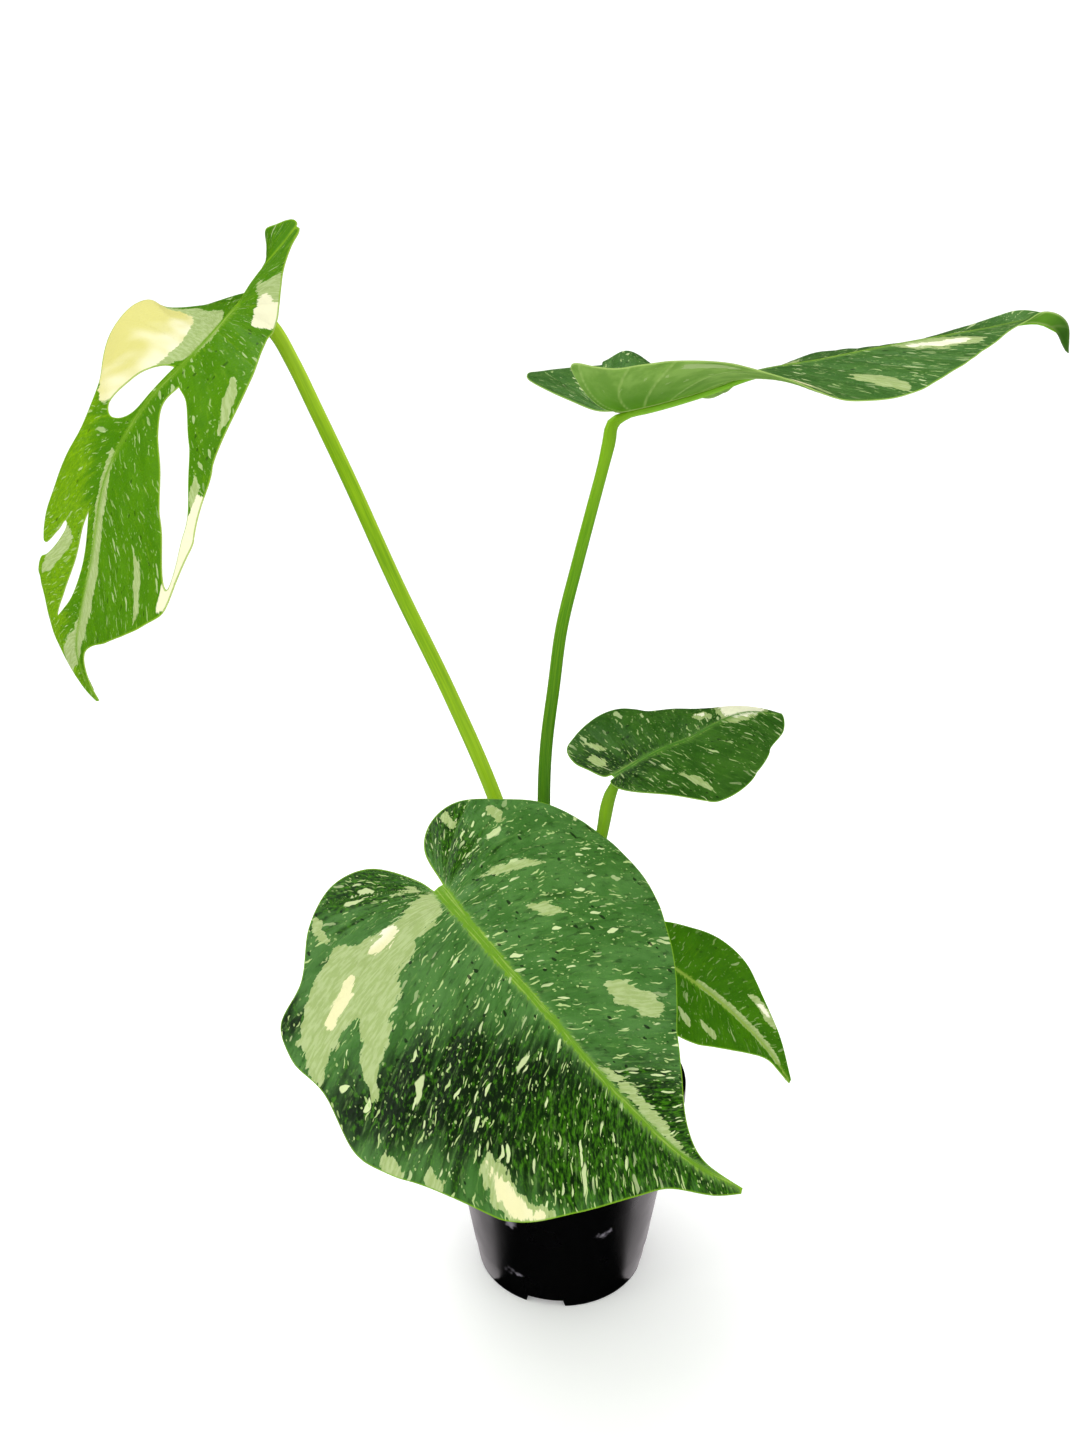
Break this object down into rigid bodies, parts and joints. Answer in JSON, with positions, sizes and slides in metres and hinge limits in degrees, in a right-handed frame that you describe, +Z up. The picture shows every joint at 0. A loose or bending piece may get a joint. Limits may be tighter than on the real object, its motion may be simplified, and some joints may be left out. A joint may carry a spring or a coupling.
{
  "type": "potted monstera plant",
  "caption": "Potted monstera with cream-splashed heart-shaped leaves, split and holed where mature, on long arching stalks from a short stem in a tapered round nursery pot.",
  "frame": {"origin": "middle of the pot's flat foot, on the surface that it stands on", "axes": "+Z up, -Y towards the side that the big front leaf hangs over, +X towards the long upper leaf's tip"},
  "size_m": [0.3862, 0.1974, 0.4316],
  "materials": {
    "pot_plastic": "satin black moulded plastic",
    "potting_bark": "coarse bark and fibre, matt",
    "stem_skin": "satin green skin with pale rings",
    "leaf_blade": "satin green, splashed and speckled with cream",
    "leaf_stalk": "smooth bright green, satin"
  },
  "bodies": {
    "root": {"nursery_pot": "pot_plastic", "potting_mix": "potting_bark", "stem": "stem_skin", "blade_upper_left": "leaf_blade", "blade_upper_right": "leaf_blade", "blade_middle_right": "leaf_blade", "blade_front": "leaf_blade", "blade_lower_right": "leaf_blade", "stalk_upper_left": "leaf_stalk", "stalk_upper_right": "leaf_stalk", "stalk_middle_right": "leaf_stalk", "stalk_front": "leaf_stalk", "stalk_lower_right": "leaf_stalk"}
  },
  "joints": []
}
